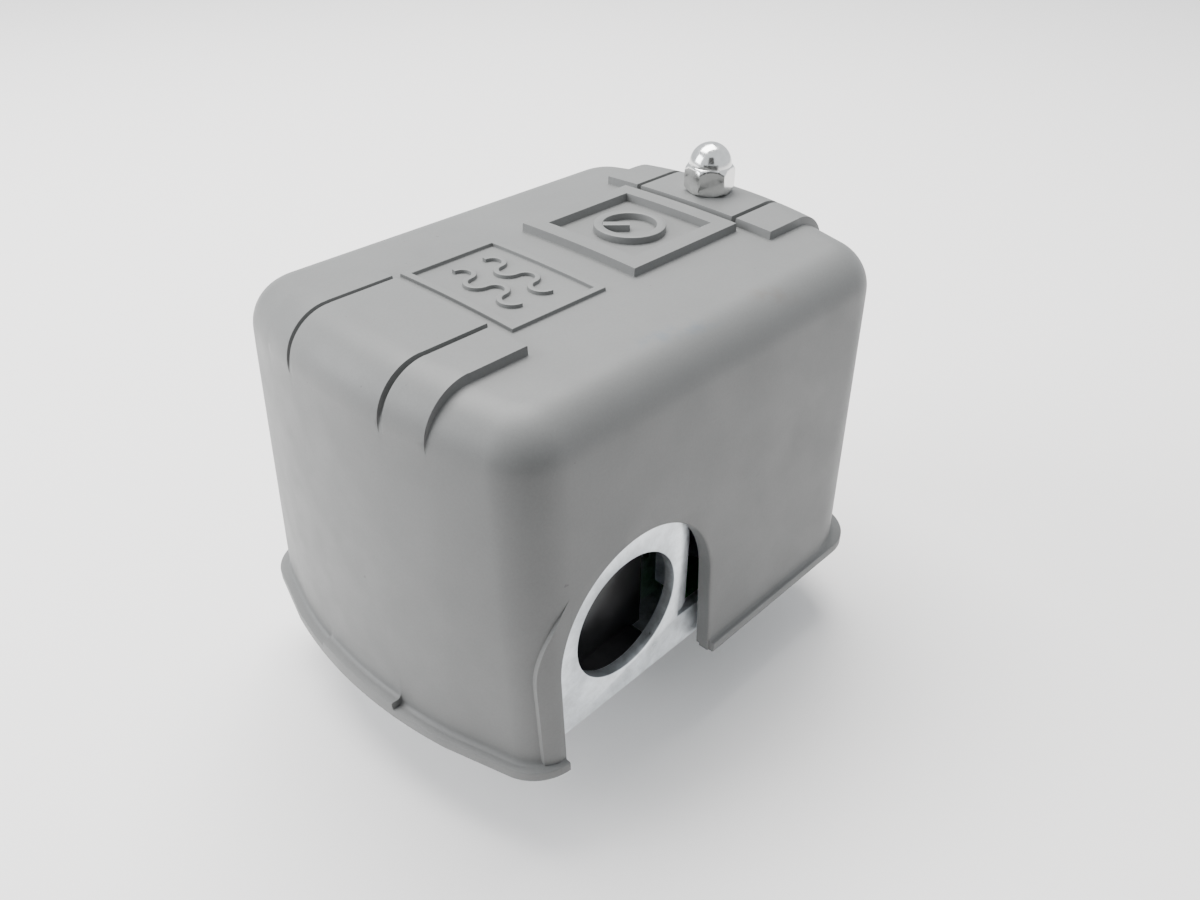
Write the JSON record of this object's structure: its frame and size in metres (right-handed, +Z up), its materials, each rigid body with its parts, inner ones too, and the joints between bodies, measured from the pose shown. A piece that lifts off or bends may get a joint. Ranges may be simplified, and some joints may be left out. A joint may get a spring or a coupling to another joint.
{
  "type": "pressure switch",
  "caption": "Diaphragm pressure switch for a water pump: rounded grey cover held by an acorn nut, folded steel base with side conduit holes and a threaded port below.",
  "frame": {"origin": "centre of the pressure port's mouth, at the foot of the hexagonal boss", "axes": "+Z up along the pressure port into the switch, +X toward the cover nut, +Y toward the left side, the conduit holes run along Y"},
  "size_m": [0.0993, 0.0754, 0.0868],
  "materials": {
    "grey_cover": "matte moulded plastic with fine grain",
    "zinc_steel": "bright blue-white zinc plate on folded steel",
    "bright_nut": "bright nickel plate with fine turning marks",
    "cast_housing": "plain cast zinc, machined on the hexagon",
    "rubber": "matt black rubber",
    "fastener_steel": "zinc-plated screw steel",
    "spring_steel": "oiled spring wire",
    "black_phenolic": "black moulded phenolic, slight sheen",
    "brass": "stamped brass with a silver contact",
    "contact_bronze": "phosphor bronze strip",
    "earth_green": "green dyed zinc plate"
  },
  "bodies": {
    "base": {"base_frame": "zinc_steel", "port_housing": "cast_housing", "diaphragm": "rubber", "retaining_ring": "zinc_steel", "housing_screws": "fastener_steel", "lever_pin": "fastener_steel", "pin_clips": "spring_steel", "range_stud": "fastener_steel", "differential_stud": "fastener_steel", "stud_locknut": "fastener_steel", "contact_block": "black_phenolic", "block_screws": "fastener_steel", "line_left_terminal": "brass", "load_left_terminal": "brass", "load_right_terminal": "brass", "line_right_terminal": "brass", "terminal_screws": "fastener_steel", "terminal_clamps": "brass", "carrier_pivot_pin": "fastener_steel", "earth_screws": "earth_green"},
    "cover": {"cover": "grey_cover"},
    "cover_nut": {"cover_nut": "bright_nut"},
    "piston": {"piston": "fastener_steel"},
    "lever": {"operating_lever": "zinc_steel", "spring_washer": "fastener_steel", "range_spring": "spring_steel", "differential_spring": "spring_steel"},
    "contact_carrier": {"contact_carrier": "black_phenolic", "moving_contact_left": "contact_bronze", "moving_contact_right": "contact_bronze", "snap_spring": "spring_steel"},
    "range_cap": {"range_cap": "zinc_steel"},
    "range_nut": {"range_nut": "fastener_steel"},
    "differential_cap": {"differential_cap": "zinc_steel"},
    "differential_nut": {"differential_nut": "fastener_steel"}
  },
  "joints": [
    {"name": "cover_lift", "type": "slide", "parent": "base", "child": "cover", "axis": [0, 0, 1], "range_m": [0, 0.11]},
    {"name": "cover_nut_turn", "type": "hinge", "parent": "cover", "child": "cover_nut", "pos_m": [0.0217, 0, 0.0785], "axis": [0, 0, 1], "continuous": true},
    {"name": "pressure_stroke", "type": "slide", "parent": "base", "child": "piston", "axis": [0, 0, 1], "range_m": [0, 0.0007]},
    {"name": "lever_tilt", "type": "hinge", "parent": "base", "child": "lever", "pos_m": [-0.017, 0, 0.032], "axis": [0, -1, 0], "range_deg": [0, 2.41]},
    {"name": "contact_snap", "type": "hinge", "parent": "base", "child": "contact_carrier", "pos_m": [-0.026, 0, 0.04], "axis": [0, 1, 0], "range_deg": [0, 18.2]},
    {"name": "range_nut_turn", "type": "hinge", "parent": "range_cap", "child": "range_nut", "pos_m": [0.00852, 0, 0.0534], "axis": [0, 0, 1], "range_deg": [-722, 722]},
    {"name": "range_cap_travel", "type": "slide", "parent": "base", "child": "range_cap", "axis": [0, 0, 1], "range_m": [-0.00254, 0.00254], "deforming": ["range_spring"]},
    {"name": "differential_nut_turn", "type": "hinge", "parent": "differential_cap", "child": "differential_nut", "pos_m": [0.0217, 0, 0.0406], "axis": [0, 0, 1], "range_deg": [-722, 722]},
    {"name": "differential_cap_travel", "type": "slide", "parent": "base", "child": "differential_cap", "axis": [0, 0, 1], "range_m": [-0.00159, 0.00159], "deforming": ["differential_spring"]}
  ],
  "couplings": [
    {"joint": "lever_tilt", "follows": "pressure_stroke", "rad_per_m": 58.824},
    {"joint": "contact_snap", "follows": "pressure_stroke", "rad_per_m": 448.35},
    {"joint": "range_nut_turn", "follows": "range_cap_travel", "rad_per_m": 4947.4},
    {"joint": "differential_nut_turn", "follows": "differential_cap_travel", "rad_per_m": 7915.8}
  ]
}
